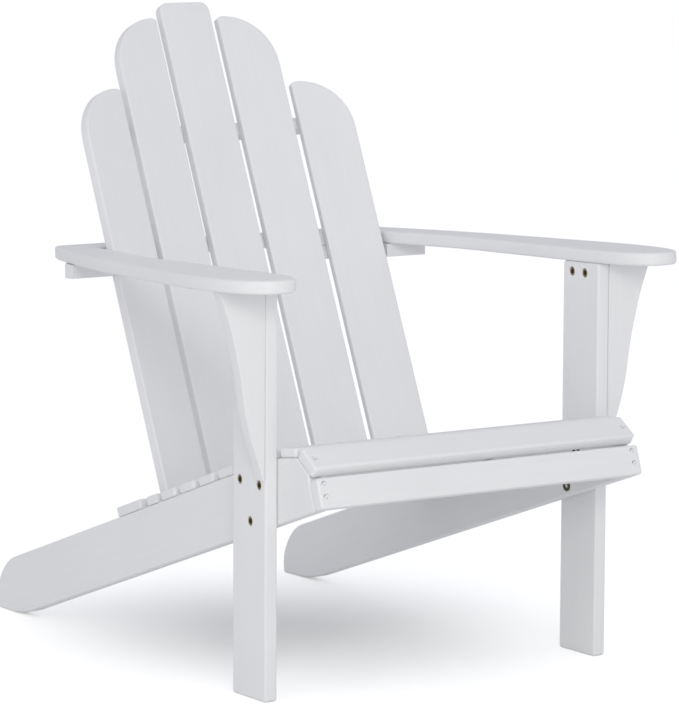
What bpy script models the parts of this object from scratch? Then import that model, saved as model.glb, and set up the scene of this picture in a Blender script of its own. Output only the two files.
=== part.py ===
"""Painted wooden garden armchair: raked slatted seat, fan-shaped slatted back,
broad level arms on bracketed front legs.

Units are metres, +Z is up and the sitter faces -Y.  The origin lies on the
floor, under the middle of the chair's overall box.  Every board, block, bolt,
nut and screw is its own closed solid.  Left means the -X side.  Positions
along Y are first given from the front faces of the legs and then moved by
FRONT_Y.
"""
import math

import bmesh
import bpy
from mathutils import Matrix, Vector

# ------------------------------------------------------------ driving sizes
GAP = 0.0003                   # clearance between two pieces that touch
FRONT_Y = -0.34315             # y of the front faces of the legs

FRAME_WIDTH = 0.590            # outside to outside of the front legs
LEG_THICK = 0.020
LEG_DEPTH = 0.084

RAIL_THICK = 0.022             # side rails, which are also the rear legs
RAIL_HEIGHT = 0.089
SEAT_RAKE = math.radians(19.0)
SEAT_TOP_Z = 0.3417            # top line of the rails at the legs' front faces
RAIL_FRONT_U = -0.0656         # square front end of the rails, along the rake
KNEE_Y = -0.0462               # where the knee meets the front facet
KNEE_RISE = 0.0052             # of that corner over SEAT_TOP_Z
KNEE_BACK_Y = 0.0020
NOSE_TILT = math.radians(33.0)
REAR_CUT = 0.1984              # from the rear foot to where the rail's top line meets the ground
REAR_ROUND = ((0.0020, 0.020), (-0.0030, 0.040), (-0.0160, 0.062), (-0.0370, None))

SLAT_THICK = 0.013
SLAT_WIDTH = 0.040
SLAT_FIRST_U = 0.0340          # middle of the first slat behind the knee
SLAT_COUNT = 6                 # equal slats on the raked part
SLAT_LAST_GAP = 0.0119         # between the last of them and the curved slat
CURVED_SLAT = (-0.0589, -0.0329, 0.0187)     # front, ends' rear edge, middle, from the back
LOWER_RAIL = (-0.0113, 0.0574)               # front and rear edge, from the back
LOWER_RAIL_THICK = 0.014
NOSE_THICK = 0.018
NOSE_WIDTH = 0.043
APRON_THICK = 0.020
APRON_HEIGHT = 0.043

BACK_RAKE = math.radians(23.85)
BACK_SEAT_U = 0.3963           # centre board's front face, along the top of the rails
BOARD_WIDTH = 0.0882
BOARD_GAP = 0.0105
BOARD_THICK = 0.0163
BOARD_TURN = math.radians(6.876)
BOARD_BOTTOM = -0.0115         # along the boards, from the top of the rails
BOARD_TOPS = (0.7835, 0.7590, 0.6435)    # centre, next, outer
TOP_BRACE_AT = 0.5805
TOP_BRACE_THICK = 0.020
TOP_BRACE_DEPTH = 0.030
TOP_BRACE_REACH = 0.0060       # past the middle of the outer boards

ARM_THICK = 0.019
ARM_UNDER_Z = 0.5765           # underside at the legs' front faces
ARM_FALL = 0.0295              # fall per unit length towards the rear
ARM_PAST_BACK = 0.0817         # rear end of the arm behind the centre board's front
ARM_HOOK = 0.1100              # inner rear corner, in from the leg's outer face
BLOCK_THICK = 0.020
BLOCK_IN = (0.1450, 0.0400, -0.0200)      # inner end, heel and toe, in from the leg
BLOCK_PAST_BACK = (-0.0373, -0.0173, 0.0717)   # front, end of the toe, rear edge
MID_RAIL_THICK = 0.0195
BRACKET_THICK = 0.0195
BRACKET_FOOT = 0.0317          # lower end, down from SEAT_TOP_Z
CLEAT_THICK = 0.0195
CLEAT_LENGTH = 0.0560
CLEAT_HEIGHT = 0.0340

HEAD_R = 0.0058                # cap head bolts, sunk in counterbores
HEAD_T = 0.0050
HEAD_SUNK = 0.0015
FLANGE_R = 0.0080              # sleeve nuts
FLANGE_T = 0.0016
SLEEVE_R = 0.0045
THREAD_R = 0.0030
SOCKET_FLATS = 0.0070
SOCKET_DEPTH = 0.0055
SIDE_BOLTS = ((0.0180, 0.0397), (0.0670, 0.0377), (0.0400, 0.0927))   # y, drop from SEAT_TOP_Z
ARM_BOLTS = ((0.0340, 0.0170), (0.0640, 0.0170))                      # y, drop from ARM_UNDER_Z
SCREW_HEAD_R = 0.0040
SCREW_SHANK_R = 0.0020
HOLE_PLAY = 0.0003
BORE_PLAY = 0.0006             # round a bolt head

# ------------------------------------------------------------ clean start
for old in list(bpy.data.objects):
    bpy.data.objects.remove(old, do_unlink=True)

chair = bpy.data.collections.new("garden_armchair")
cutters = bpy.data.collections.new("cutters")
bpy.context.scene.collection.children.link(chair)
bpy.context.scene.collection.children.link(cutters)

PAINT = ((0.80, 0.80, 0.80), 0.40, 0.0)
ZINC = ((0.62, 0.47, 0.24), 0.35, 1.0)
SCREW_STEEL = ((0.62, 0.62, 0.60), 0.40, 1.0)


def place(ob, matrix, look):
    """Sets a new object's place and gives it a material of its own."""
    for c in list(ob.users_collection):
        c.objects.unlink(ob)
    if look is None:
        cutters.objects.link(ob)
        ob.hide_render = True
        ob.display_type = 'WIRE'
    else:
        chair.objects.link(ob)
        colour, rough, metal = look
        m = bpy.data.materials.new(ob.name + "_finish")
        m.use_nodes = True
        b = m.node_tree.nodes["Principled BSDF"]
        b.inputs["Base Color"].default_value = (*colour, 1.0)
        b.inputs["Roughness"].default_value = rough
        b.inputs["Metallic"].default_value = metal
        m.diffuse_color = (*colour, 1.0)
        ob.data.materials.clear()
        ob.data.materials.append(m)
    ob.matrix_world = matrix
    return ob


def frame(origin, ex, ey):
    """Matrix of the frame with this origin (y from the legs' front faces) and
    first two axes."""
    ex, ey = Vector(ex).normalized(), Vector(ey).normalized()
    m = Matrix((ex, ey, ex.cross(ey))).transposed().to_4x4()
    m.translation = Vector(origin) + Vector((0, FRONT_Y, 0))
    return m


def ease_edges(ob, width, segments=1):
    """Breaks the sharp edges of a piece."""
    b = ob.modifiers.new("eased_edges", 'BEVEL')
    b.width = width
    b.segments = segments
    b.limit_method = 'ANGLE'
    b.angle_limit = math.radians(40)
    return ob


def box(name, size, matrix, look=PAINT, ease=0.0015):
    """Rectangular board centred on the frame's origin."""
    bpy.ops.mesh.primitive_cube_add(size=1.0)
    ob = bpy.context.object
    ob.name = ob.data.name = name
    ob.data.transform(Matrix.Diagonal((*size, 1.0)))
    place(ob, matrix, look)
    if ease:
        ease_edges(ob, ease)
    return ob


def flat(name, outline, thick, matrix, look=PAINT, ease=0.0015):
    """Board cut to an outline, its thickness centred on the frame's XY plane."""
    cu = bpy.data.curves.new(name, 'CURVE')
    cu.dimensions = '2D'
    cu.fill_mode = 'BOTH'
    cu.extrude = thick / 2
    sp = cu.splines.new('POLY')
    sp.points.add(len(outline) - 1)
    for p, (x, y) in zip(sp.points, outline):
        p.co = (x, y, 0.0, 1.0)
    sp.use_cyclic_u = True
    line = bpy.data.objects.new(name + "_line", cu)
    chair.objects.link(line)
    bpy.context.view_layer.update()
    me = bpy.data.meshes.new_from_object(line.evaluated_get(bpy.context.evaluated_depsgraph_get()))
    bm = bmesh.new()
    bm.from_mesh(me)
    bmesh.ops.remove_doubles(bm, verts=bm.verts, dist=0.00002)
    bmesh.ops.dissolve_limit(bm, angle_limit=0.001, verts=bm.verts, edges=bm.edges)
    bm.to_mesh(me)
    bm.free()
    bpy.data.objects.remove(line, do_unlink=True)
    ob = bpy.data.objects.new(name, me)
    place(ob, matrix, look)
    if ease:
        ease_edges(ob, ease)
    return ob


def turned(name, profile, matrix, look, steps=24):
    """Turned piece: a profile of (radius, height) points, top to bottom."""
    me = bpy.data.meshes.new(name)
    me.from_pydata([(r, 0.0, h) for r, h in profile],
                   [(i, i + 1) for i in range(len(profile) - 1)], [])
    ob = place(bpy.data.objects.new(name, me), matrix, look)
    s = ob.modifiers.new("turn", 'SCREW')
    s.steps = s.render_steps = steps
    s.use_merge_vertices = True
    s.merge_threshold = 0.00001
    return ob


def cut(ob, tool):
    """Takes a cutter away from a piece."""
    m = ob.modifiers.new(tool.name, 'BOOLEAN')
    m.operation = 'DIFFERENCE'
    m.solver = 'EXACT'
    m.object = tool


def hexagon(name, flats, depth, matrix):
    """Six-sided cutter whose mouth lies at the frame's origin."""
    me = bpy.data.meshes.new(name)
    bm = bmesh.new()
    bmesh.ops.create_cone(bm, cap_ends=True, segments=6, radius1=flats / math.sqrt(3),
                          radius2=flats / math.sqrt(3), depth=depth + 0.002)
    bmesh.ops.translate(bm, vec=(0, 0, 0.001 - depth / 2), verts=bm.verts)
    bm.to_mesh(me)
    bm.free()
    return place(bpy.data.objects.new(name, me), matrix, None)


SIDES = (("left", -1), ("right", 1))
CT, ST = math.cos(SEAT_RAKE), math.sin(SEAT_RAKE)
CN, SN = math.cos(NOSE_TILT), math.sin(NOSE_TILT)
KNEE_Z = SEAT_TOP_Z + KNEE_RISE
HALF = FRAME_WIDTH / 2
LEG_IN = HALF - LEG_THICK
RAIL_OUT = LEG_IN - GAP
RAIL_MID = RAIL_OUT - RAIL_THICK / 2
SEAT_WIDTH = 2 * RAIL_OUT


def on_rake(u, v):
    """y and z of the point u to the rear along the rake and v square above it."""
    return u * CT + v * ST, SEAT_TOP_Z - u * ST + v * CT


def arm_under(y):
    return ARM_UNDER_Z - ARM_FALL * y


def upright(x):
    """Outline in Y and Z, thickness along X."""
    return frame((x, 0, 0), (0, 1, 0), (0, 0, 1))


# ------------------------------------------------------------ front legs
legs, rails, brackets, cleats, arms, blocks = {}, {}, {}, {}, {}, {}
leg_outline = [(0, 0), (LEG_DEPTH, 0), (LEG_DEPTH, arm_under(LEG_DEPTH) - GAP),
               (0, arm_under(0) - GAP)]
for side, s in SIDES:
    legs[side] = flat("front_leg_" + side, leg_outline, LEG_THICK,
                      upright(s * (LEG_IN + LEG_THICK / 2)))

# ------------------------------------------------------------ side rails
toe_y, toe_z = on_rake(RAIL_FRONT_U, -RAIL_HEIGHT)
# height of the square front end, up to where it meets the sloping facet
rise = ((KNEE_Z - toe_z) + (toe_y - KNEE_Y) * SN / CN) / (CT - ST * SN / CN)
foot_y = SEAT_TOP_Z * CT / ST - REAR_CUT
tail = [(foot_y + dy, SEAT_TOP_Z - (foot_y + dy) * ST / CT if z is None else z)
        for dy, z in REAR_ROUND]
rail_outline = [(toe_y, toe_z), (toe_y + toe_z * CT / ST, 0.0), (foot_y, 0.0), *tail,
                (KNEE_BACK_Y, SEAT_TOP_Z - KNEE_BACK_Y * ST / CT), (KNEE_Y, KNEE_Z),
                (toe_y + rise * ST, toe_z + rise * CT)]
for side, s in SIDES:
    rails[side] = flat("side_rail_" + side, rail_outline, RAIL_THICK, upright(s * RAIL_MID))

# ------------------------------------------------------------ arm brackets and cleats
OUTER = HALF + GAP
# reach out from the leg, and share of the way up from the foot to the arm
bracket_edge = ((0.0030, 0.0000), (0.0090, 0.0750), (0.0160, 0.1463), (0.0237, 0.2326),
                (0.0300, 0.3189), (0.0340, 0.3977), (0.0365, 0.4728), (0.0390, 0.5328),
                (0.0435, 0.6229), (0.0510, 0.7392), (0.0580, 0.8368), (0.0680, 0.9381))
bracket_top = arm_under(BRACKET_THICK) - GAP
foot_z = SEAT_TOP_Z - BRACKET_FOOT
bracket_outline = ([(OUTER, foot_z)]
                   + [(HALF + dx, foot_z + share * (ARM_UNDER_Z - foot_z)) for dx, share in bracket_edge]
                   + [(HALF + 0.0740, bracket_top), (OUTER, bracket_top)])
y0 = BRACKET_THICK + GAP
y1 = y0 + CLEAT_LENGTH
cleat_outline = [(y0, arm_under(y0) - GAP - CLEAT_HEIGHT), (y1, arm_under(y0) - GAP - CLEAT_HEIGHT),
                 (y1, arm_under(y1) - GAP), (y0, arm_under(y0) - GAP)]
for side, s in SIDES:
    brackets[side] = flat("arm_bracket_" + side, [(s * x, z) for x, z in bracket_outline],
                          BRACKET_THICK, frame((0, BRACKET_THICK / 2, 0), (1, 0, 0), (0, 0, 1)),
                          ease=0.0008)
    cleats[side] = flat("arm_cleat_" + side, cleat_outline, CLEAT_THICK,
                        upright(s * (OUTER + CLEAT_THICK / 2)), ease=0.001)

# ------------------------------------------------------------ curved back
UP = Vector((0, math.sin(BACK_RAKE), math.cos(BACK_RAKE)))     # along the boards
OUT = Vector((0, -math.cos(BACK_RAKE), math.sin(BACK_RAKE)))   # square out of the front
EX = Vector((1, 0, 0))
BACK_O = Vector((0, *on_rake(BACK_SEAT_U, 0.0)))
RADIUS = (BOARD_WIDTH + BOARD_GAP) / 2 / math.tan(BOARD_TURN / 2)
back_plan = frame(BACK_O, EX, OUT)           # section square to the boards


def step(k, r, across=0.0):
    """Section point k board steps from the middle, r from the axis of the
    curve, moved across along that board's face."""
    a = k * BOARD_TURN
    return (r * math.sin(a) + across * math.cos(a),
            RADIUS - r * math.cos(a) + across * math.sin(a))


def section(r, reach):
    """Five straight faces at distance r, from the left to the right."""
    c = r / math.cos(BOARD_TURN / 2)
    return [step(-2, r, -reach)] + [step(k, c) for k in (-1.5, -0.5, 0.5, 1.5)] + [step(2, r, reach)]


boards = []
for i in (-2, -1, 0, 1, 2):
    a = i * BOARD_TURN
    across = EX * math.cos(a) + OUT * math.sin(a)
    x, n = step(i, RADIUS + BOARD_THICK / 2)
    w, top = BOARD_WIDTH / 2, BOARD_TOPS[abs(i)]
    r, turns = (0.014, 5) if i == 0 else (BOARD_WIDTH - 0.006, 11)
    arc = [(w - r + r * math.cos(q), top - r + r * math.sin(q))
           for q in (math.pi / 2 * k / (turns - 1) for k in range(turns))]
    if i == 0:
        outline = [(w, BOARD_BOTTOM)] + arc + [(-p, q) for p, q in arc[::-1]] + [(-w, BOARD_BOTTOM)]
    else:
        outline = [(w, BOARD_BOTTOM)] + arc + [(-w, top - 0.003), (-w, BOARD_BOTTOM)]
        outline = [(math.copysign(1, i) * p, q) for p, q in outline]
    boards.append(flat("back_board_%d" % (i + 3), outline, BOARD_THICK,
                       frame(BACK_O + EX * x + OUT * n, across, UP)))

# everything ahead of the boards' backs, and everything behind their fronts
BACK_CLEAR = step(2, RADIUS + BOARD_THICK, BOARD_WIDTH / 2)[0] + 0.0036
ahead = flat("ahead_of_back",
             section(RADIUS + BOARD_THICK + GAP, BOARD_WIDTH / 2 + 0.002)
             + [(BACK_CLEAR, 0.200), (-BACK_CLEAR, 0.200)], 2.0, back_plan, None, 0)
front = section(RADIUS - GAP, BOARD_WIDTH / 2 + 0.002)
behind = flat("behind_front",
              front + [(BACK_CLEAR, front[-1][1]), (BACK_CLEAR, -0.100),
                       (-BACK_CLEAR, -0.100), (-BACK_CLEAR, front[0][1])], 2.0, back_plan, None, 0)

# upper brace: five straight faces against the boards, even depth
rf = RADIUS + BOARD_THICK + GAP
top_brace = flat("upper_back_brace",
                 section(rf, TOP_BRACE_REACH) + section(rf + TOP_BRACE_DEPTH, TOP_BRACE_REACH)[::-1],
                 TOP_BRACE_THICK, frame(BACK_O + UP * TOP_BRACE_AT, EX, OUT))

# ------------------------------------------------------------ apron and front slat
rake_side = frame((0, 0, SEAT_TOP_Z), (0, CT, -ST), (0, ST, CT))     # u, v
plan = frame((0, 0, SEAT_TOP_Z), (1, 0, 0), (0, CT, -ST))            # x, u; third axis up
apron_u = RAIL_FRONT_U - GAP - APRON_THICK / 2
apron_v = -RAIL_HEIGHT + APRON_HEIGHT / 2
apron = box("front_apron", (SEAT_WIDTH, APRON_THICK, APRON_HEIGHT),
            plan @ Matrix.Translation((0, apron_u, apron_v)))
nose_frame = frame((0, KNEE_Y, KNEE_Z), (1, 0, 0), (0, -CN, -SN))    # third axis down
nose = box("front_slat", (SEAT_WIDTH, NOSE_WIDTH, NOSE_THICK),
           nose_frame @ Matrix.Translation((0, NOSE_WIDTH / 2, -GAP - NOSE_THICK / 2)), ease=0.003)

# ------------------------------------------------------------ seat slats
knee = Vector((0, KNEE_Y - KNEE_BACK_Y, KNEE_Z - SEAT_TOP_Z + KNEE_BACK_Y * ST / CT))
knee_frame = frame((0, KNEE_Y, KNEE_Z), (1, 0, 0), -knee)            # third axis up
curved_u = [BACK_SEAT_U + d for d in CURVED_SLAT]
last_u = curved_u[0] - SLAT_LAST_GAP - SLAT_WIDTH / 2
pitch = (last_u - SLAT_FIRST_U) / (SLAT_COUNT - 1)
slats = [box("seat_slat_1", (SEAT_WIDTH, SLAT_WIDTH, SLAT_THICK),
             knee_frame @ Matrix.Translation((0, 0.0012 + SLAT_WIDTH / 2, GAP + SLAT_THICK / 2)),
             ease=0.002)]
for k in range(SLAT_COUNT):
    at = (0, SLAT_FIRST_U + k * pitch, GAP + SLAT_THICK / 2)
    slats.append(box("seat_slat_%d" % (k + 2), (SEAT_WIDTH, SLAT_WIDTH, SLAT_THICK),
                     plan @ Matrix.Translation(at), ease=0.002))
h = SEAT_WIDTH / 2
u0, u1, u2 = curved_u
slats.append(flat("seat_slat_8", [(-h, u0), (h, u0), (h, u1), (BACK_CLEAR + 0.001, u1),
                                  (BACK_CLEAR - 0.003, u2), (0.003 - BACK_CLEAR, u2),
                                  (-BACK_CLEAR - 0.001, u1), (-h, u1)], SLAT_THICK,
                  plan @ Matrix.Translation((0, 0, GAP + SLAT_THICK / 2)), ease=0))
cut(slats[-1], behind)
ease_edges(slats[-1], 0.0015)
lower_rail = box("lower_back_rail", (SEAT_WIDTH, LOWER_RAIL[1] - LOWER_RAIL[0], LOWER_RAIL_THICK),
                 plan @ Matrix.Translation((0, BACK_SEAT_U + sum(LOWER_RAIL) / 2,
                                            GAP + LOWER_RAIL_THICK / 2)),
                 ease=0)
cut(lower_rail, ahead)
ease_edges(lower_rail, 0.0015)

# ------------------------------------------------------------ arms, blocks, middle rail
tilt = math.atan(ARM_FALL)
arm_plane = frame((0, 0, ARM_UNDER_Z), (1, 0, 0), (0, math.cos(tilt), -math.sin(tilt)))
back_y = BACK_O.y + (ARM_UNDER_Z - BACK_O.z) * math.tan(BACK_RAKE)
back_y -= (ARM_FALL * back_y) * math.tan(BACK_RAKE)    # centre board's front at the arms
rear_y = back_y + ARM_PAST_BACK
# reach out from the leg's outer face, and share of the way from the leg to the rear end
arm_edge = ((-0.0230, 0.5410), (-0.0230, 0.0984), (-0.0220, 0.0246), (-0.0195, -0.0328),
            (-0.0130, -0.0820), (-0.0040, -0.1164), (0.0080, -0.1377), (0.0210, -0.1459),
            (0.0350, -0.1475), (0.0520, -0.1405), (0.0665, -0.1170), (0.0780, -0.0787),
            (0.0850, -0.0246),
            (0.0875, 0.0410), (0.0860, 0.1279), (0.0780, 0.2377), (0.0680, 0.3557),
            (0.0590, 0.4721), (0.0490, 0.5852), (0.0360, 0.6902), (0.0230, 0.7820),
            (0.0070, 0.8770), (-0.0080, 0.9590), (-0.0170, 0.9902), (-0.0290, 1.0000),
            (-ARM_HOOK, 1.0000), (-ARM_HOOK, 0.9115), (-0.0490, 0.8902),
            (-0.0490, 0.8033), (-0.0410, 0.7377), (-0.0300, 0.6393))
arm_outline = [(HALF + dx, share * rear_y) for dx, share in arm_edge]
bx = [HALF - d for d in BLOCK_IN]
by = [back_y + d for d in BLOCK_PAST_BACK]
block_outline = [(bx[0], by[0]), (bx[2], by[0]), (bx[2], by[1]), (bx[1], by[2]), (bx[0], by[2])]
for side, s in SIDES:
    arms[side] = flat("armrest_" + side, [(s * x, y) for x, y in arm_outline], ARM_THICK,
                      arm_plane @ Matrix.Translation((0, 0, ARM_THICK / 2)), ease=0.003)
    blocks[side] = flat("arm_block_" + side, [(s * x, y) for x, y in block_outline], BLOCK_THICK,
                        arm_plane @ Matrix.Translation((0, 0, -GAP - BLOCK_THICK / 2)), ease=0)
    cut(blocks[side], ahead)
    ease_edges(blocks[side], 0.0015)
reach = HALF - ARM_HOOK - GAP
mid_rail = box("middle_back_rail", (2 * reach, 0.1000, MID_RAIL_THICK),
               arm_plane @ Matrix.Translation((0, by[2] - 0.050, MID_RAIL_THICK / 2)), ease=0)
cut(mid_rail, ahead)
ease_edges(mid_rail, 0.0015)

# ------------------------------------------------------------ bolts and sleeve nuts
def real_mesh(ob):
    """Makes the modifiers' result the object's own mesh, ready to share."""
    bpy.context.view_layer.update()
    dg = bpy.context.evaluated_depsgraph_get()
    me = bpy.data.meshes.new_from_object(ob.evaluated_get(dg))
    me.name = ob.name
    ob.modifiers.clear()
    ob.data = me
    return me


def pattern(name, profile, flats, depth, top, look, steps=24):
    """Mesh of a turned fastener with a hexagon socket in its top."""
    ob = turned(name, profile, Matrix.Identity(4), look, steps)
    tool = hexagon(name + "_socket", flats, depth, Matrix.Translation((0, 0, top)))
    cut(ob, tool)
    me = real_mesh(ob)
    bpy.data.objects.remove(ob, do_unlink=True)
    bpy.data.objects.remove(tool, do_unlink=True)
    return me


def copy_of(mesh, name, matrix, look):
    """Another fastener on a shared shape, with a material of its own."""
    return place(bpy.data.objects.new(name, mesh.copy()), matrix, look)


def drill(name, depth, matrix):
    """Cutter for a bolt's hole with the counterbore for its head."""
    wide, narrow, floor = HEAD_R + BORE_PLAY, SLEEVE_R + HOLE_PLAY, HEAD_SUNK + HEAD_T + GAP
    return turned(name, [(0, 0.004), (wide, 0.004), (wide, -floor), (narrow, -floor),
                         (narrow, -depth), (0, -depth)], matrix, None)


head = [(0, -HEAD_SUNK), (HEAD_R - 0.0006, -HEAD_SUNK), (HEAD_R, -HEAD_SUNK - 0.0006),
        (HEAD_R, -HEAD_SUNK - HEAD_T), (SLEEVE_R, -HEAD_SUNK - HEAD_T)]
through = LEG_THICK + GAP + RAIL_THICK       # leg and rail together
tip = through - 0.0080                       # length of the bolt under its flange
bolt_mesh = pattern("bolt", head + [(SLEEVE_R, 0.0060 - LEG_THICK), (THREAD_R, 0.0060 - LEG_THICK),
                                    (THREAD_R, 0.0008 - tip), (0.0022, -tip), (0, -tip)],
                    SOCKET_FLATS, HEAD_T - 0.0010, -HEAD_SUNK, ZINC)
bore = THREAD_R + HOLE_PLAY
nut_mesh = pattern("nut", [(bore, FLANGE_T), (FLANGE_R - 0.0005, FLANGE_T),
                           (FLANGE_R, FLANGE_T - 0.0004), (FLANGE_R, 0.0001),
                           (SLEEVE_R, 0.0001), (SLEEVE_R, 0.0020 - RAIL_THICK), (bore, 0.0020 - RAIL_THICK),
                           (bore, FLANGE_T)],
                   SOCKET_FLATS, SOCKET_DEPTH, FLANGE_T, ZINC)


def facing(x, y, z, direction):
    """Frame whose third axis points along +X or -X."""
    return frame((x, y, z), (0, 1, 0), (0, 0, direction))


for side, s in SIDES:
    for n, (y, drop) in enumerate(SIDE_BOLTS, 1):
        tag, z = "%s_%d" % (side, n), SEAT_TOP_Z - drop
        at = facing(s * HALF, y, z, s)
        copy_of(bolt_mesh, "side_bolt_" + tag, at, ZINC)
        copy_of(nut_mesh, "sleeve_nut_" + tag, facing(s * (RAIL_OUT - RAIL_THICK), y, z, -s), ZINC)
        hole = drill("side_hole_" + tag, through + 0.004, at)
        cut(legs[side], hole)
        cut(rails[side], hole)
    for n, (y, drop) in enumerate(ARM_BOLTS, 1):
        tag, z = "%s_%d" % (side, n), ARM_UNDER_Z - drop
        at = facing(s * LEG_IN, y, z, -s)
        copy_of(bolt_mesh, "arm_bolt_" + tag, at, ZINC)
        hole = drill("arm_hole_" + tag, tip + 0.0012, at)
        cut(legs[side], hole)
        cut(cleats[side], hole)

# ------------------------------------------------------------ wood screws
SUNK = 0.0003
cone = SCREW_HEAD_R - SCREW_SHANK_R
SCREW_LENGTH = 0.038
screw_mesh = pattern("screw", [(0, -SUNK), (SCREW_HEAD_R, -SUNK), (SCREW_HEAD_R, -SUNK - 0.0006),
                               (SCREW_SHANK_R, -SUNK - 0.0006 - cone),
                               (SCREW_SHANK_R, 0.006 - SCREW_LENGTH), (0, -SCREW_LENGTH)],
                     0.0028, 0.0018, -SUNK, SCREW_STEEL, 16)


def screw(name, matrix, pieces):
    """One countersunk screw and its hole through the pieces it joins."""
    copy_of(screw_mesh, name, matrix, SCREW_STEEL)
    p = HOLE_PLAY
    hole = turned(name + "_hole", [(0, 0.002), (SCREW_HEAD_R + p, 0.002),
                                   (SCREW_HEAD_R + p, -SUNK - 0.0006 - p / 2),
                                   (SCREW_SHANK_R + p, -SUNK - 0.0006 - cone - p / 2),
                                   (SCREW_SHANK_R + p, -SCREW_LENGTH - 0.0006),
                                   (0, -SCREW_LENGTH - 0.0006)], matrix, None, 16)
    for ob in pieces:
        cut(ob, hole)


for side, s in SIDES:
    for n, v in enumerate((0.0330 - RAIL_HEIGHT, 0.0150 - RAIL_HEIGHT), 1):
        y, z = on_rake(RAIL_FRONT_U - GAP - APRON_THICK, v)
        screw("apron_screw_%s_%d" % (side, n),
              frame((s * RAIL_MID, y, z), (1, 0, 0), (0, ST, CT)), (apron, rails[side]))
    w, t = 0.0200, GAP + NOSE_THICK
    screw("front_slat_screw_" + side,
          frame((s * RAIL_MID, KNEE_Y - CN * w - SN * t, KNEE_Z - SN * w + CN * t),
                (1, 0, 0), (0, CN, SN)), (nose, rails[side]))
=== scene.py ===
import math

import bpy
import numpy as np
from mathutils import Matrix, Vector


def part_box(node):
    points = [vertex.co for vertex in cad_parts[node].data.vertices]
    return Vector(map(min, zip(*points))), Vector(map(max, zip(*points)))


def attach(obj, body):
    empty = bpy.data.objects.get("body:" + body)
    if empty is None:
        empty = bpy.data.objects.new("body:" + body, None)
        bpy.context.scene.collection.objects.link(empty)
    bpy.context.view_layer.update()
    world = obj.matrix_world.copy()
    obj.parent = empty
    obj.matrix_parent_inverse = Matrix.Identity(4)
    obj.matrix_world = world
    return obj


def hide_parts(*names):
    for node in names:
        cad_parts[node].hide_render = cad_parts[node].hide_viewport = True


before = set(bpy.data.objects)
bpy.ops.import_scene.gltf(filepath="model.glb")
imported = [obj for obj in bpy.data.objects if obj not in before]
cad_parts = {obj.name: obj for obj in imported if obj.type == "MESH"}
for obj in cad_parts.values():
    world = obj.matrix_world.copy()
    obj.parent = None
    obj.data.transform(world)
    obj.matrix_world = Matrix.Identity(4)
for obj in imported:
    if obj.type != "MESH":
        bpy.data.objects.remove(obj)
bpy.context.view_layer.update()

# ---------------------------------------------------------------- side rails
# Two long raked boards that carry the seat and run down to the ground as the
# rear legs.  Solid wood planed to 22 mm, every arris rounded over by about
# 3 mm, then primed and sprayed with white satin paint before assembly.

def cad_triangles(node):
    """Corners of a CAD node's triangles, one row a triangle."""
    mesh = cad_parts[node].data
    mesh.calc_loop_triangles()
    corner = np.empty(len(mesh.loop_triangles) * 3, np.int32)
    mesh.loop_triangles.foreach_get("vertices", corner)
    co = np.empty(len(mesh.vertices) * 3, np.float32)
    mesh.vertices.foreach_get("co", co)
    return co.reshape(-1, 3).astype(float)[corner].reshape(-1, 3, 3)


def unit(v):
    """Vectors at length one: each is divided by its own length."""
    return v / np.linalg.norm(v, axis=-1, keepdims=True)


def board_rim(node):
    """A board's widest flat face: its rim as points in the plane, the plane's
    axes (along the rim's longest edge, across it, out of the face), the
    board's thickness and middle height along the third axis, and how far the
    CAD board's eased edges pull the rim in.  The rim is the chain of edges
    that only one of the face's triangles uses."""
    tri = cad_triangles(node)
    cross = np.cross(tri[:, 1] - tri[:, 0], tri[:, 2] - tri[:, 0])
    area = np.linalg.norm(cross, axis=1)
    tri, cross, area = tri[area > 1e-12], cross[area > 1e-12], area[area > 1e-12]
    normal = cross / area[:, None]
    same = normal @ normal.T > 0.9999
    out = normal[np.argmax(same @ area)]
    height = tri @ out
    top = height.max()
    face = (normal @ out > 0.9999) & (height.min(axis=1) > top - 1e-4)
    key, index = np.unique(np.round(tri[face].reshape(-1, 3), 6), axis=0, return_inverse=True)
    index = index.reshape(-1, 3)
    edge = np.concatenate([index[:, [0, 1]], index[:, [1, 2]], index[:, [2, 0]]])
    code = edge[:, 0] * len(key) + edge[:, 1]
    back = edge[:, 1] * len(key) + edge[:, 0]
    edge = edge[~np.isin(code, back)]
    follow = dict(edge.tolist())
    loops = []
    while follow:
        start, after = follow.popitem()
        chain = [start]
        while after != start:
            chain.append(after)
            after = follow.pop(after)
        loops.append(key[chain])
    loop = max(loops, key=lambda p: np.ptp(p, axis=0).sum())
    side = np.roll(loop, -1, axis=0) - loop
    along = unit(side[np.argmax(np.linalg.norm(side, axis=1))])
    across = np.cross(out, along)
    flat = np.stack([loop @ along, loop @ across], axis=1)
    everything = tri.reshape(-1, 3)
    pulled = (np.ptp(everything @ across) - np.ptp(flat[:, 1])) / 2
    low = (everything @ out).min()
    return flat, np.stack([along, across, out]), top - low, (top + low) / 2, pulled


def outward(loop):
    """Outward offset direction at each point of a closed loop that runs
    anticlockwise: the mean of the normals of the two edges that meet there,
    lengthened so that both edges move by one."""
    step = unit(np.roll(loop, -1, axis=0) - loop)
    normal = np.stack([step[:, 1], -step[:, 0]], axis=1)
    mean = normal + np.roll(normal, 1, axis=0)
    return 2 * mean / np.maximum((mean ** 2).sum(axis=1, keepdims=True), 0.8)


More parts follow.
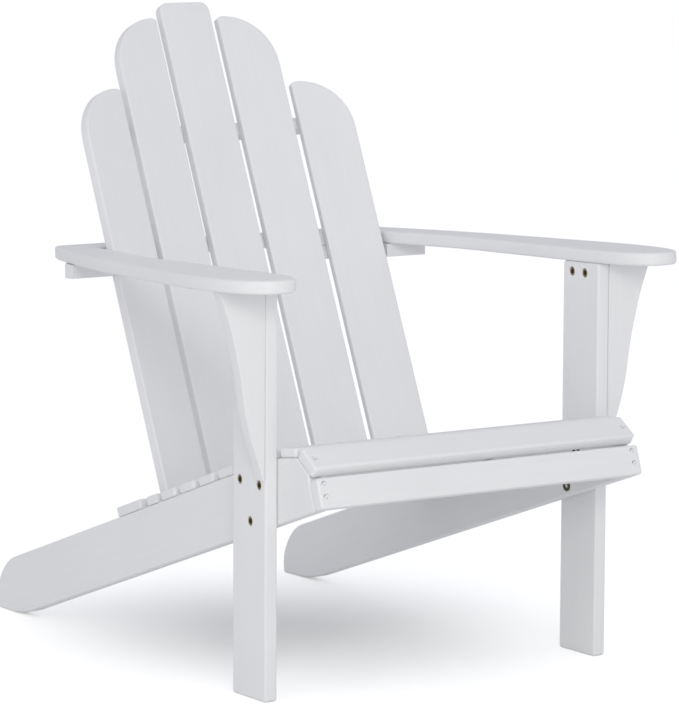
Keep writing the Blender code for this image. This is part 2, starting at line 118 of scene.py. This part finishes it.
def rounded(loop, radius, points=8):
    """A loop with its corners rounded.  Each corner gives way to the circular
    arc that starts t before it and ends t after it, where t is radius times
    the tangent of half the turn at a real corner, and half of the shorter
    edge where the outline is a chain of short edges along a curve.  A point
    of the arc, f of the turn along, lies R sin f ahead of the arc's start
    and R (1 - cos f) to the side that the outline turns to."""
    before, after = loop - np.roll(loop, 1, axis=0), np.roll(loop, -1, axis=0) - loop
    shorter = np.minimum(np.linalg.norm(before, axis=1), np.linalg.norm(after, axis=1))
    before, after = unit(before), unit(after)
    bend = before[:, 0] * after[:, 1] - before[:, 1] * after[:, 0]
    turn = np.maximum(np.arctan2(np.abs(bend), (before * after).sum(axis=1)), 1e-4)
    reach = np.where(turn > 0.6, radius * np.tan(turn / 2), 0.5 * shorter)
    reach = np.minimum(reach, 0.5 * shorter)
    big = (reach / np.tan(turn / 2))[:, None, None]
    side = np.stack([-before[:, 1], before[:, 0]], axis=1) * np.sign(bend)[:, None]
    f = (np.linspace(0, 1, points)[None] * turn[:, None])[..., None]
    start = loop - before * reach[:, None]
    curve = start[:, None] + big * (before[:, None] * np.sin(f) + side[:, None] * (1 - np.cos(f)))
    curve = curve.reshape(-1, 2)
    gap = np.linalg.norm(curve - np.roll(curve, 1, axis=0), axis=1)
    return curve[gap > 2e-5]


CREASE = math.radians(38)


def add_mesh(name, points, faces, paint):
    """A smooth shaded object from points and faces, its creases kept sharp."""
    mesh = bpy.data.meshes.new(name)
    mesh.from_pydata(points.tolist(), [], faces)
    mesh.polygons.foreach_set("use_smooth", np.ones(len(faces), bool))
    piece = bpy.data.objects.new(name, mesh)
    bpy.context.scene.collection.objects.link(piece)
    mesh.materials.append(paint)
    mesh.set_sharp_from_angle(angle=CREASE)
    return piece


def eased_board(name, node, arris, paint):
    """A board with rounded arrises in place of a CAD board.  Its surface is a
    quarter circle carried round both rims and joined by the straight edge:
    ring k stands in from the outline by arris times (1 - sin a) and below the
    face by arris times (1 - cos a), for a from 0 to 90 degrees.  One more
    ring inside each keeps the flat faces flat."""
    rim, axes, thick, height, pulled = board_rim(node)
    outline = rounded(rim + outward(rim) * pulled, arris * 1.4)
    push = outward(outline)
    a = np.linspace(0, math.pi / 2, 6)
    inset = np.concatenate([[arris + 0.0004], arris * (1 - np.sin(a))])
    level = thick / 2 - np.concatenate([[0.0], arris * (1 - np.cos(a))])
    inset, level = np.concatenate([inset, inset[::-1]]), np.concatenate([level, -level[::-1]])
    flat = outline[None] - push[None] * inset[:, None, None]
    points = (flat @ axes[:2] + (level + height)[:, None, None] * axes[2]).reshape(-1, 3)
    rings, n = len(inset), len(outline)
    grid = np.arange(rings * n).reshape(rings, n)
    nxt = np.roll(grid, -1, axis=1)
    quads = np.stack([grid[:-1], grid[1:], nxt[1:], nxt[:-1]], axis=2).reshape(-1, 4)
    faces = quads.tolist() + [grid[0].tolist(), grid[-1][::-1].tolist()]
    piece = add_mesh(name, points, faces, paint)
    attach(piece, "root")
    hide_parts(node)
    return piece


class Wire:
    """A node socket that arithmetic can be written on."""

    def __init__(self, tree, socket=None):
        self.tree, self.socket = tree, socket

    def node(self, kind, settings=None, out=0, **values):
        """Adds a node, sets it up, gives its sockets values or links, and
        returns one of its outputs.  A socket is named, with _ for a space,
        or numbered as i0, i1 and so on."""
        made = self.tree.nodes.new(kind)
        for key, value in (settings or {}).items():
            setattr(made, key, value)
        for key, value in values.items():
            number = key[0] == "i" and key[1:].isdigit()
            socket = made.inputs[int(key[1:]) if number else key.replace("_", " ")]
            if isinstance(value, Wire):
                self.tree.links.new(value.socket, socket)
            else:
                socket.default_value = value
        return Wire(self.tree, made.outputs[out])

    def math(self, operation, a, b):
        return self.node("ShaderNodeMath", {"operation": operation}, i0=a, i1=b)

    def __add__(self, other):
        return self.math("ADD", self, other)

    def __radd__(self, other):
        return self.math("ADD", other, self)

    def __sub__(self, other):
        return self.math("SUBTRACT", self, other)

    def __rsub__(self, other):
        return self.math("SUBTRACT", other, self)

    def __mul__(self, other):
        return self.math("MULTIPLY", self, other)

    def __rmul__(self, other):
        return self.math("MULTIPLY", other, self)


def new_material(name):
    """A material with its Principled shader, and a Wire to build on it."""
    made = bpy.data.materials.new(name)
    made.use_nodes = True
    tree = made.node_tree
    shader = tree.nodes["Principled BSDF"]
    return made, Wire(tree), shader


def satin_paint(name, axes, tint=(0.865, 0.868, 0.872)):
    """White satin paint on planed wood.  The pattern lies in the board's own
    directions: long faint streaks of grain and finer brush lines show through
    the film, with the slight orange peel of sprayed paint over them."""
    made, w, shader = new_material(name)
    turn = Matrix(np.array(axes).T.tolist()).to_euler()
    where = w.node("ShaderNodeTexCoord", out="Object")

    def streaks(length, width, detail, rough):
        """Noise drawn out along the board: its grain is length by width."""
        laid = w.node("ShaderNodeMapping", {"vector_type": "TEXTURE"}, Vector=where,
                      Rotation=turn, Scale=(length, width, width))
        return w.node("ShaderNodeTexNoise", Vector=laid, Scale=1.0, Detail=detail, Roughness=rough)

    grain = streaks(0.110, 0.0050, 3.0, 0.55)
    lines = streaks(0.060, 0.0011, 2.0, 0.5)
    cloud = streaks(0.160, 0.0700, 2.0, 0.5)
    peel = w.node("ShaderNodeTexNoise", Vector=where, Scale=700.0, Detail=1.0, Roughness=0.5)
    shade = (grain - 0.5) * 0.55 + (cloud - 0.5) * 0.7 + 0.5
    r, g, b = tint
    thin, full = (r * 0.955, g * 0.957, b * 0.960, 1.0), (r * 1.03, g * 1.03, b * 1.03, 1.0)
    colour = w.node("ShaderNodeMix", {"data_type": "RGBA"}, out=2, i0=shade, i6=thin, i7=full)
    relief = grain * 0.60 + lines * 0.25 + peel * 0.15
    bump = w.node("ShaderNodeBump", Strength=0.35, Distance=0.00022, Height=relief)
    rough = 0.36 + (lines - 0.5) * 0.16 + (cloud - 0.5) * 0.12
    w.tree.links.new(colour.socket, shader.inputs["Base Color"])
    w.tree.links.new(rough.socket, shader.inputs["Roughness"])
    w.tree.links.new(bump.socket, shader.inputs["Normal"])
    shader.inputs["Specular IOR Level"].default_value = 0.5
    return made


ARRIS = 0.0030
rail_paint = satin_paint("satin_paint_rails", board_rim("side_rail_left")[1])
for side in ("left", "right"):
    eased_board("rail_" + side, "side_rail_" + side, ARRIS, rail_paint)

# ---------------------------------------------------------------- front legs
# Two upright boards outside the rails.  Each has three counterbored holes for
# the bolts into the rail, and two from the inner side for those into the arm
# cleat; the paint runs a little way into their softened mouths.

def spun(profile, seats, steps=32):
    """Surfaces of revolution: profile point (radius, height) at angle t lies
    at (radius cos t, radius sin t, height), carried to each seat, which is
    four by four.  Returns the points and faces of all of them."""
    t = np.linspace(0, 2 * math.pi, steps, endpoint=False)
    r, h = np.array(profile, float).T
    ring = np.stack([np.outer(r, np.cos(t)), np.outer(r, np.sin(t)), np.outer(h, np.ones(steps)),
                     np.ones((len(r), steps))], axis=2).reshape(-1, 4)
    points = np.einsum("sij,pj->spi", np.array(seats, float), ring)[..., :3].reshape(-1, 3)
    grid = np.arange(len(r) * steps).reshape(len(r), steps)
    nxt = np.roll(grid, -1, axis=1)
    one = np.stack([grid[:-1], grid[1:], nxt[1:], nxt[:-1]], axis=2).reshape(-1, 4)
    shift = np.arange(len(seats))[:, None, None] * grid.size
    faces = (one[None] + shift).reshape(-1, 4).tolist()
    ends = (np.stack([grid[0], grid[-1][::-1]])[None] + shift).reshape(-1, steps).tolist()
    return points, faces + ends


def seat(at, out, up=(0.0, 0.0, 1.0)):
    """Place of a fastener: its mouth at a point, its axis out of the board."""
    z = unit(np.array(out, float))
    x = unit(np.cross(up, z)) if abs(np.dot(up, z)) < 0.95 else unit(np.cross((1.0, 0.0, 0.0), z))
    m = np.eye(4)
    m[:3, 0], m[:3, 1], m[:3, 2], m[:3, 3] = x, np.cross(z, x), z, at
    return m


def bore(piece, profile, seats):
    """Cuts the holes of one kind of fastener out of a board."""
    points, faces = spun(profile, seats)
    tool = add_mesh(piece.name + "_tool", points, faces, piece.data.materials[0])
    cut = piece.modifiers.new("holes", "BOOLEAN")
    cut.operation, cut.solver, cut.object = "DIFFERENCE", "EXACT", tool
    bpy.context.view_layer.update()
    settled = bpy.context.evaluated_depsgraph_get()
    made = bpy.data.meshes.new_from_object(piece.evaluated_get(settled))
    piece.modifiers.clear()
    piece.data = made
    made.set_sharp_from_angle(angle=CREASE)
    bpy.data.objects.remove(tool, do_unlink=True)


def middle(node):
    """Middle of a node's box."""
    low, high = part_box(node)
    return np.array((low + high) / 2)


# mouth rounded over by 1.2 mm, then the counterbore, then the bolt's hole
BOLT_HOLE = [(0.0100, 0.0020), (0.00745, -0.00012), (0.0069, -0.0005), (0.00652, -0.0012),
             (0.0064, -0.0019), (0.0064, -0.0068), (0.0048, -0.0068), (0.0048, -0.0600)]
leg_paint = satin_paint("satin_paint_legs", board_rim("front_leg_left")[1])
for side, s in (("left", -1.0), ("right", 1.0)):
    leg = eased_board("leg_" + side, "front_leg_" + side, ARRIS, leg_paint)
    low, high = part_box("front_leg_" + side)
    outer, inner = (high.x, low.x) if s > 0 else (low.x, high.x)
    through = [seat((outer, *middle("side_bolt_%s_%d" % (side, n))[1:]), (s, 0, 0))
               for n in (1, 2, 3)]
    inward = [seat((inner, *middle("arm_bolt_%s_%d" % (side, n))[1:]), (-s, 0, 0))
              for n in (1, 2)]
    bore(leg, BOLT_HOLE, through + inward)

# ---------------------------------------------------------------- apron and front slat
# The apron is a board screwed across the square front ends of the rails.  The
# front slat lies over it on the sloping facets, and its lower arris stands a
# few millimetres over the apron.  Their screws are sunk and painted over.

NOSE_ARRIS = 0.0036
# a shallow dimple over the head, then the shank's hole
APRON_HOLE = [(0.0060, 0.0013), (0.0046, -0.0003), (0.0042, -0.0010), (0.0022, -0.0030),
              (0.0022, -0.0400)]
apron_paint = satin_paint("satin_paint_apron", board_rim("front_apron")[1])
apron = eased_board("apron", "front_apron", ARRIS, apron_paint)
nose = eased_board("nose_slat", "front_slat", NOSE_ARRIS, apron_paint)


def face_seats(board, toward, at):
    """Seats on the face of a board that looks toward a direction: each point
    is moved square to that face until it lies in it."""
    _, axes, thick, height, _ = board_rim(board)
    way = math.copysign(1.0, axes[2] @ np.array(toward, float))
    face, level = axes[2] * way, thick / 2 + height * way
    return [seat(p + face * (level - p @ face), face) for p in at]


AHEAD, ABOVE = (0, -1, 0), (0, 0, 1)
apron_seats = face_seats("front_apron", AHEAD, [middle("apron_screw_%s_%d" % (d, n))
                                                for d in ("left", "right") for n in (1, 2)])
nose_seats = face_seats("front_slat", AHEAD, [middle("front_slat_screw_" + d)
                                              for d in ("left", "right")])
bore(apron, APRON_HOLE, apron_seats)
bore(nose, APRON_HOLE, nose_seats)

# ---------------------------------------------------------------- seat slats
# Seven equal slats laid across the rails, with drainage gaps between them,
# and a last one cut to the curve of the back.  Each is held by a sunk screw
# into either rail.

slat_paint = satin_paint("satin_paint_slats", board_rim("seat_slat_2")[1])
for n in range(1, 8):
    eased_board("slat_%d" % n, "seat_slat_%d" % n, ARRIS, slat_paint)

# a countersunk head, its recess half filled with paint: rim, cone, flat floor
PAINTED_HEAD = [(0.0042, -0.0012), (0.0042, 0.00005), (0.0038, 0.00022), (0.0016, 0.00018),
                (0.0009, -0.0005)]


def painted_screws(name, seats, paint):
    """One piece that holds a painted screw head at each seat."""
    points, faces = spun(PAINTED_HEAD, seats, steps=24)
    piece = add_mesh(name, points, [f[::-1] for f in faces], paint)
    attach(piece, "root")
    return piece


slat_seats = []
for n in range(1, 9):
    for side in ("left", "right"):
        point = middle("seat_slat_%d" % n)
        point[0] = middle("side_rail_" + side)[0]
        slat_seats += face_seats("seat_slat_%d" % n, ABOVE, [point])
painted_screws("slat_screws", slat_seats, slat_paint)

# ---------------------------------------------------------------- back boards
# Five tall boards in a shallow curve, the outer ones lower and rounded over
# at their outer corners.  They stand on the lower rail and are screwed from
# behind to it, to the middle rail and to the upper brace.

back_paint = satin_paint("satin_paint_back", board_rim("back_board_3")[1])
BACK_ARRIS = 0.0022
for n in range(1, 6):
    eased_board("board_%d" % n, "back_board_%d" % n, BACK_ARRIS, back_paint)
brace = eased_board("brace", "upper_back_brace", ARRIS, slat_paint)


def finish_node(node, paint):
    """Gives a CAD node that stays as it is its material."""
    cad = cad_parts[node]
    cad.data.materials.clear()
    cad.data.materials.append(paint)


for node in ("seat_slat_8", "lower_back_rail", "middle_back_rail"):
    finish_node(node, slat_paint)

# two screws a board, from behind, found where a line square to the board
# meets the back of the brace
HALF_SPREAD = 0.024
brace_seats = []
bpy.context.view_layer.update()
for n in range(1, 6):
    axes = board_rim("back_board_%d" % n)[1]
    rise = axes[0] * math.copysign(1.0, axes[0][2])
    behind = axes[2] * math.copysign(1.0, axes[2][1])
    point = middle("back_board_%d" % n)
    point = point + rise * (middle("upper_back_brace")[2] - point[2]) / rise[2]
    for shift in (-HALF_SPREAD, HALF_SPREAD):
        start = point + np.cross(rise, behind) * shift + behind * 0.2
        _, spot, normal, _ = brace.ray_cast(Vector(start), Vector(-behind))
        brace_seats.append(seat(np.array(spot), np.array(normal)))
painted_screws("brace_screws", brace_seats, slat_paint)

# ---------------------------------------------------------------- arms
# Broad arms with a curved outline, on the legs and their shaped brackets in
# front and on a block behind.  The cleat takes the two bolts from the leg.

arm_paint = satin_paint("satin_paint_arms", board_rim("armrest_left")[1])
bracket_paint = satin_paint("satin_paint_brackets", board_rim("arm_bracket_left")[1])
ARM_ARRIS, BRACKET_ARRIS, CLEAT_ARRIS = 0.0042, 0.0012, 0.0015
for side in ("left", "right"):
    eased_board("arm_" + side, "armrest_" + side, ARM_ARRIS, arm_paint)
    eased_board("bracket_" + side, "arm_bracket_" + side, BRACKET_ARRIS, bracket_paint)
    eased_board("cleat_" + side, "arm_cleat_" + side, CLEAT_ARRIS, arm_paint)
    finish_node("arm_block_" + side, arm_paint)

# ---------------------------------------------------------------- fasteners
# Cap head bolts in yellow zinc, darkened to paint the shade of the holes they
# sit in, the flanged nuts that they screw into, and countersunk wood screws
# painted with the chair.

def zinc(name, colour, rough):
    """Zinc plate: a dull metal with a blotchy film, the blotches also a fine bump."""
    made, w, shader = new_material(name)
    where = w.node("ShaderNodeTexCoord", out="Object")
    blotch = w.node("ShaderNodeTexNoise", Vector=where, Scale=450.0, Detail=3.0, Roughness=0.6)
    r, g, b = colour
    tone = w.node("ShaderNodeMix", {"data_type": "RGBA"}, out=2, i0=blotch,
                  i6=(r * 0.6, g * 0.6, b * 0.55, 1.0), i7=(r * 1.3, g * 1.3, b * 1.3, 1.0))
    bump = w.node("ShaderNodeBump", Strength=0.2, Distance=0.0001, Height=blotch)
    w.tree.links.new(tone.socket, shader.inputs["Base Color"])
    w.tree.links.new((rough + (blotch - 0.5) * 0.3).socket, shader.inputs["Roughness"])
    w.tree.links.new(bump.socket, shader.inputs["Normal"])
    shader.inputs["Metallic"].default_value = 1.0
    return made


# painted shade: the bolts' yellow zinc is darker than the plate, standing in for the shade of
# their counterbores
bolt_zinc_painted_shade = zinc("yellow_zinc_darkened_as_shade", (0.34, 0.285, 0.175), 0.42)
nut_zinc = zinc("dull_dark_zinc", (0.13, 0.115, 0.085), 0.55)
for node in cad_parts:
    if "bolt" in node:
        finish_node(node, bolt_zinc_painted_shade)
    elif "nut" in node:
        finish_node(node, nut_zinc)
    elif "screw" in node:
        finish_node(node, apron_paint)

# ---------------------------------------------------------------- floor and light
# A pale studio floor, which glows as painted light where seen directly and
# leaves painted shade under the chair, and a white surround.  A broad soft
# light and a smaller key stand before the chair on its left, and a weak one
# lights that side.

def stage_material(name, colour):
    """A matt material of one colour, for what isn't part of the chair."""
    made, w, shader = new_material(name)
    shader.inputs["Base Color"].default_value = (*colour, 1.0)
    shader.inputs["Roughness"].default_value = 0.9
    shader.inputs["Specular IOR Level"].default_value = 0.1
    return made


# painted light and shade: seen directly, the floor glows, least under the chair
# and more away from it, so that the backdrop is white and the grey under the
# chair is part cast shadow, part painted shade
SHADE_AT, SHADE_X, SHADE_Y = (0.010, 0.075), 0.52, 0.57
GLOW_NEAR, GLOW_FAR = 0.02, 0.43
floor_paint = stage_material("studio_floor", (0.93, 0.93, 0.925))
glow = Wire(floor_paint.node_tree)
spot = glow.node("ShaderNodeTexCoord", out="Object")
round_chair = glow.node("ShaderNodeMapping", Vector=spot, Scale=(1 / SHADE_X, 1 / SHADE_Y, 0.0),
                        Location=(-SHADE_AT[0] / SHADE_X, -SHADE_AT[1] / SHADE_Y, 0.0))
away = glow.node("ShaderNodeVectorMath", {"operation": "LENGTH"}, out="Value", i0=round_chair)
ring = glow.node("ShaderNodeMapRange", {"interpolation_type": "SMOOTHSTEP"},
                 i0=away, i1=0.0, i2=1.0, i3=GLOW_NEAR, i4=GLOW_FAR)
# painted light: the floor's own glow, dimmest near the chair where it paints shade
painted_glow = glow.node("ShaderNodeEmission", Color=(1.0, 1.0, 1.0, 1.0), Strength=ring)
plain = Wire(glow.tree, glow.tree.nodes["Principled BSDF"].outputs["BSDF"])
seen = glow.node("ShaderNodeLightPath")
bright = glow.node("ShaderNodeAddShader", i0=plain, i1=painted_glow)
finish = glow.node("ShaderNodeMixShader", i0=seen, i1=plain, i2=bright)
glow.tree.links.new(finish.socket, glow.tree.nodes["Material Output"].inputs["Surface"])
FLOOR_HALF = 30.0
points = np.array([(-1, -1), (1, -1), (1, 1), (-1, 1)], float) * FLOOR_HALF
FLOOR_Z = -0.0004
points = np.concatenate([points, np.full((4, 1), FLOOR_Z)], axis=1)
floor = add_mesh("floor", points, [[0, 1, 2, 3]], floor_paint)

# the surround that lights the chair is dimmer than the white that is seen
world = bpy.data.worlds.new("studio")
world.use_nodes = True
surround = Wire(world.node_tree)
fill = surround.node("ShaderNodeBackground", Color=(0.965, 0.975, 1.03, 1.0), Strength=0.635)
white = surround.node("ShaderNodeBackground", Color=(1.0, 1.0, 1.0, 1.0), Strength=1.02)
seen = surround.node("ShaderNodeLightPath")
both = surround.node("ShaderNodeMixShader", i0=seen, i1=fill, i2=white)
world.node_tree.links.new(both.socket, world.node_tree.nodes["World Output"].inputs["Surface"])
bpy.context.scene.world = world
bpy.context.scene.view_settings.view_transform = "Standard"


def soft_light(name, at, aim, size, power, colour):
    """A round area light of a diameter and power, turned towards a point."""
    data = bpy.data.lights.new(name, "AREA")
    data.shape, data.size, data.energy, data.color = "DISK", size, power, colour
    lamp = bpy.data.objects.new(name, data)
    bpy.context.scene.collection.objects.link(lamp)
    lamp.location = at
    lamp.rotation_euler = (Vector(aim) - Vector(at)).to_track_quat("-Z", "Y").to_euler()


CHAIR_MIDDLE = (0, 0, 0.45)
soft_light("front_softbox", (-1.2, -4.6, 1.9), CHAIR_MIDDLE, 2.4, 28.0, (1.0, 0.985, 0.93))
soft_light("key_softbox", (-2.4, -4.0, 2.4), CHAIR_MIDDLE, 1.2, 27.0, (1.0, 0.985, 0.93))
soft_light("side_softbox", (-4.4, -1.1, 1.5), CHAIR_MIDDLE, 1.8, 13.0, (1.0, 0.98, 0.95))

# ---------------------------------------------------------------- camera
# A long lens, some way off before the chair and to its left, a little higher
# than the back.

lens = bpy.data.cameras.new("camera")
lens.lens = 204.85
lens.sensor_width = 36.0
lens.shift_x, lens.shift_y = 0.0092, 0.0020
lens.clip_end = 100.0
camera = bpy.data.objects.new("camera", lens)
bpy.context.scene.collection.objects.link(camera)
azimuth, pitch, roll = math.radians(-33.82), math.radians(7.72), math.radians(0.24)
camera.matrix_world = (Matrix.Translation((-3.2403, -4.90445, 1.2220))
                       @ Matrix.Rotation(azimuth, 4, "Z")
                       @ Matrix.Rotation(math.pi / 2 - pitch, 4, "X")
                       @ Matrix.Rotation(roll, 4, "Z"))
bpy.context.scene.camera = camera
